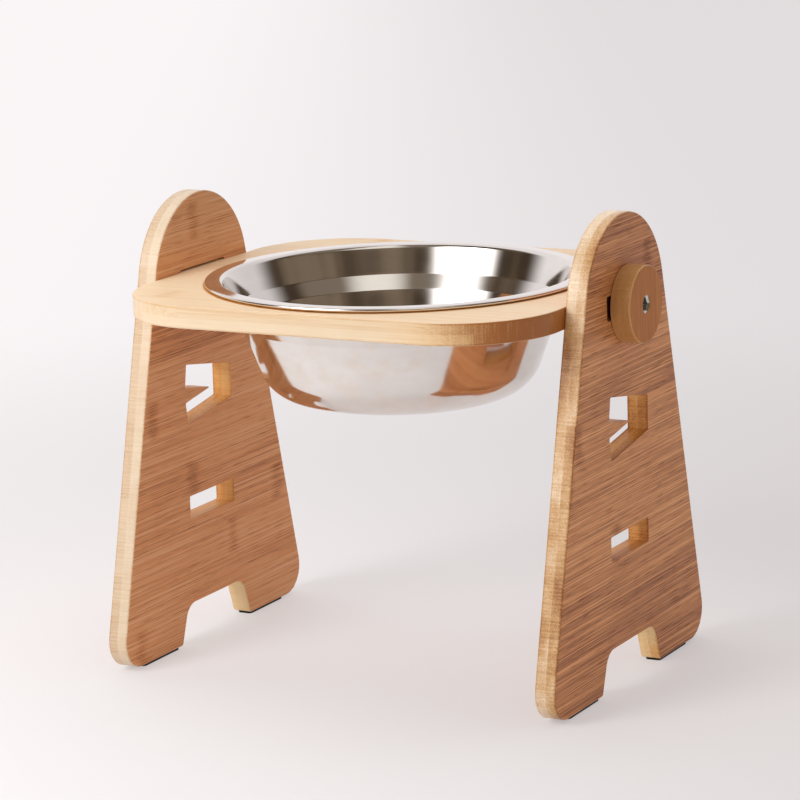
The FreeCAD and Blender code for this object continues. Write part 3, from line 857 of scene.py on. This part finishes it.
def makeInsert(sizes):
    low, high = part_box("right_knob_insert")
    level = (low.z + high.z) / 2
    insert = roundBar((high.z - low.z) / 2, low.x, high.x, level, sizes["sides"])
    insert.name = "right_insert_nut"
    cornerRadius = sizes["hexWidth"] / math.sqrt(3)
    hexFloor = high.x - sizes["hexDepth"]
    bore = roundBar(sizes["boreRadius"], low.x - sizes["cutterPast"], hexFloor + sizes["cutterOverlap"],
                    level, sizes["boreSides"])
    hexagon = roundBar(cornerRadius, hexFloor, high.x + sizes["cutterPast"], level, 6)
    cutWith(insert, [bore, hexagon])
    useAlone(insert)
    bpy.ops.object.mode_set(mode="EDIT")

    def onMouth(vert):
        return vert.co.x > high.x - 1e-5 and math.hypot(vert.co.y, vert.co.z - level) < cornerRadius + 1e-5

    choose("edges", lambda edge: all(onMouth(vert) for vert in edge.verts))
    bevelChosen(sizes["mouth"], segments=1)
    settle()
    roundEdges(insert, sizes["edgeRound"], 40)
    bpy.ops.object.mode_set(mode="EDIT")
    mergeDoubles(1e-6)  # the bevel leaves a few corners twice
    settle()
    smoothOver(insert)
    return insert


rightKnob = makeKnob(knobSizes)
leftKnob = copyOf(rightKnob, "left_knob_disc", halfTurn=True)
rightInsert = makeInsert(insertSizes)
leftInsert = copyOf(rightInsert, "left_insert_nut", halfTurn=True)
for side, knob, insert in (("right", rightKnob, rightInsert), ("left", leftKnob, leftInsert)):
    addPiece(knob, side + "_knob", side + "_knob", knobBamboo)
    addPiece(insert, side + "_knob", side + "_knob_insert", insertZinc)
print("knobs and inserts turned")


# Bolts and foot pads keep their CAD shapes

cadFinishes = {"hanger_bolt": boltZinc, "foot_pad": padRubber}
for name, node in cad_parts.items():
    for ending, finish in cadFinishes.items():
        if name.endswith(ending):
            for slot in node.material_slots:
                slot.material = finish
print("bolts and pads finished")


# Studio: pale paper below and to the rear, a round soft lamp at the front left, a weaker one overhead

studio = {
    # painted shade: the floor and the backdrop are darker towards the right, where light falls off
    "floorSize": 40.0, "floorLeft": (0.93, 0.912, 0.915, 1.0), "floorRight": (0.83, 0.812, 0.815, 1.0),
    "floorRoughness": 0.9, "nearGlow": 0.5, "nearReach": 0.35, "farReach": 1.1,
    "paperLeft": screenColour(250, 246, 247), "paperRight": screenColour(226, 221, 222),
    "paperTurn": (0.88, 0.474), "paperHalfWidth": 0.38,
    "keyPlace": (-0.40, -0.85, 0.70), "keySize": 1.15, "keyPower": 31.2,
    "topPlace": (0.0, 0.1, 1.6), "topSize": 1.2, "topPower": 4.2,
    "aim": (0.0, 0.0, 0.12),
}


def addLamp(name, place, size, power):
    deselectAll()
    bpy.ops.object.light_add(type="AREA", location=place)
    lamp = bpy.context.object
    lamp.name = name
    lamp.data.shape = "DISK"
    lamp.data.size = size
    lamp.data.energy = power
    lamp.rotation_mode = "QUATERNION"
    lamp.rotation_quaternion = (Vector(studio["aim"]) - Vector(place)).to_track_quat("-Z", "Y")
    lamp.visible_camera = False
    return lamp


def fadeRim(lamp):
    # a softbox: bright in the middle, fading out to its rim
    lamp.data.use_nodes = True
    emission = lamp.data.node_tree.nodes["Emission"]
    wire = Wire(emission.outputs[0])
    across, upright = [part * 2.0 - 1.0 for part in wire.add("TexCoord", output="UV").parts()[:2]]
    inner = 1 - across * across - upright * upright
    feed(emission, Strength=inner * inner * inner)


def seenDirectly(wire):
    # 1 where the eye, a mirror or glass looks at it, 0 where it only gives light
    rays = wire.socket.id_data.nodes.new("ShaderNodeLightPath").outputs
    return Wire(rays["Is Camera Ray"]) + Wire(rays["Is Glossy Ray"]) + Wire(rays["Is Transmission Ray"])


def addFloor():
    deselectAll()
    bpy.ops.mesh.primitive_plane_add(size=studio["floorSize"], location=(0, 0, 0))
    floor = bpy.context.object
    floor.name = "floor"
    finish, shader, wire = newFinish("floorPaper")
    x, y = wire.add("TexCoord", output="Object").parts()[:2]
    turn, half = studio["paperTurn"], studio["paperHalfWidth"]
    # painted shade: darker towards the right
    shadedToRight = (x * turn[0] + y * turn[1]).ease(-half, half)
    feed(shader, Base_Color=shadedToRight.blend(studio["floorLeft"], studio["floorRight"]))
    feed(shader, Roughness=studio["floorRoughness"])
    glow = shadedToRight.blend(studio["paperLeft"], studio["paperRight"])
    paper = wire.add("Emission", None, {"Color": glow})
    far = (x * x + y * y).root().ease(studio["nearReach"], studio["farReach"], studio["nearGlow"], 1.0)
    mixed = wire.add("MixShader", None, {0: seenDirectly(wire) * far, 1: wire, 2: paper})
    tree = finish.node_tree
    tree.links.new(mixed.socket, tree.nodes["Material Output"].inputs["Surface"])
    floor.data.materials.append(finish)


# What surrounds the stand: paper to the rear and a dim blotchy room to the front. Metal also sees a lighter
# strip there, high on the right, and matt surfaces see a pale reflector on the right instead.
room = {
    "paperTurn": (-0.42, 0.907), "paperEdge": (0.15, 0.5), "paperShade": (-0.7, 0.7),
    "dark": (0.058, 0.040, 0.026, 1.0), "shade": (0.22, 0.167, 0.117, 1.0),
    "blotchScales": (2.0, 2.0, 6.0), "blotches": (0.36, 0.66), "windowShade": 0.16,
    "strip": (0.22, 0.18, 0.14, 1.0), "stripSide": (0.1, 0.5), "stripFoot": (0.54, 0.60),
    "window": (0.98, 0.94, 0.87, 1.0), "windowTurn": (0.72, -0.69), "windowEdge": (0.84, 0.998),
    "reflector": (0.48, 0.465, 0.455, 1.0), "reflectorEdge": (0.1, 0.7),
}


def addWorld():
    world = bpy.data.worlds.new("studio")
    bpy.context.scene.world = world
    world.use_nodes = True
    tree = world.node_tree
    tree.nodes.clear()
    out = tree.nodes.new("ShaderNodeOutputWorld")
    wire = Wire(out.inputs["Surface"])
    rays = tree.nodes.new("ShaderNodeLightPath").outputs
    inMirror = Wire(rays["Is Glossy Ray"])
    towards = wire.add("TexCoord", output="Generated").parts()
    east, north, up = towards
    level = (1 - up * up).root() + 0.001  # kept off zero, straight up and down

    def turnedTo(direction):
        return (east * direction[0] + north * direction[1]) / level

    rear, window = turnedTo(room["paperTurn"]), turnedTo(room["windowTurn"])
    blotches = wire.patches(towards, room["blotchScales"], 3.0) + (window - 0.5) * room["windowShade"]
    dim = blotches.ease(*room["blotches"]).blend(room["dark"], room["shade"])
    strip = window.ease(*room["windowEdge"]).blend(room["strip"], room["window"])
    atStrip = inMirror * window.ease(*room["stripSide"]) * up.ease(*room["stripFoot"])
    atReflector = (1 - inMirror) * east.ease(*room["reflectorEdge"])
    front = atReflector.blend(atStrip.blend(dim, strip), room["reflector"])
    # painted shade: the backdrop is darker towards the right; these colours also light the stand from the
    # rear
    paper = east.ease(*room["paperShade"]).blend(studio["paperLeft"], studio["paperRight"])
    around = rear.ease(*room["paperEdge"]).blend(front, paper)
    surround = wire.add("Background", None, {"Color": around})
    backdrop = wire.add("Background", None, {"Color": paper})
    mixed = wire.add("MixShader", None, {0: Wire(rays["Is Camera Ray"]), 1: surround, 2: backdrop})
    tree.links.new(mixed.socket, out.inputs["Surface"])


addFloor()
addWorld()
fadeRim(addLamp("key_lamp", studio["keyPlace"], studio["keySize"], studio["keyPower"]))
topLamp = addLamp("top_lamp", studio["topPlace"], studio["topSize"], studio["topPower"])
topLamp.visible_glossy = False
bpy.context.scene.view_settings.view_transform = "Standard"
print("studio lit")


# Camera at the photograph's angle, with its slight roll

cameraView = {
    "azimuth": math.radians(28.278), "elevation": math.radians(12.028), "roll": -0.0317,
    "aim": (-0.00096, 0.0, 0.14568), "distance": 1.92368, "clipEnd": 100.0,
    "focalPixels": 3480.7, "imagePixels": 800, "sensorWidth": 36.0,
}


def addCamera(view):
    azimuth, elevation = view["azimuth"], view["elevation"]
    back = Vector((math.sin(azimuth) * math.cos(elevation), -math.cos(azimuth) * math.cos(elevation),
                   math.sin(elevation)))
    deselectAll()
    bpy.ops.object.camera_add(location=Vector(view["aim"]) + back * view["distance"])
    camera = bpy.context.object
    camera.name = "photo_camera"
    camera.rotation_mode = "QUATERNION"
    camera.rotation_quaternion = (-back).to_track_quat("-Z", "Y") @ Quaternion((0, 0, 1), view["roll"])
    camera.data.sensor_width = view["sensorWidth"]
    camera.data.lens = view["sensorWidth"] * view["focalPixels"] / view["imagePixels"]
    camera.data.clip_end = view["clipEnd"]
    bpy.context.scene.camera = camera


addCamera(cameraView)
deselectAll()
print("camera placed")
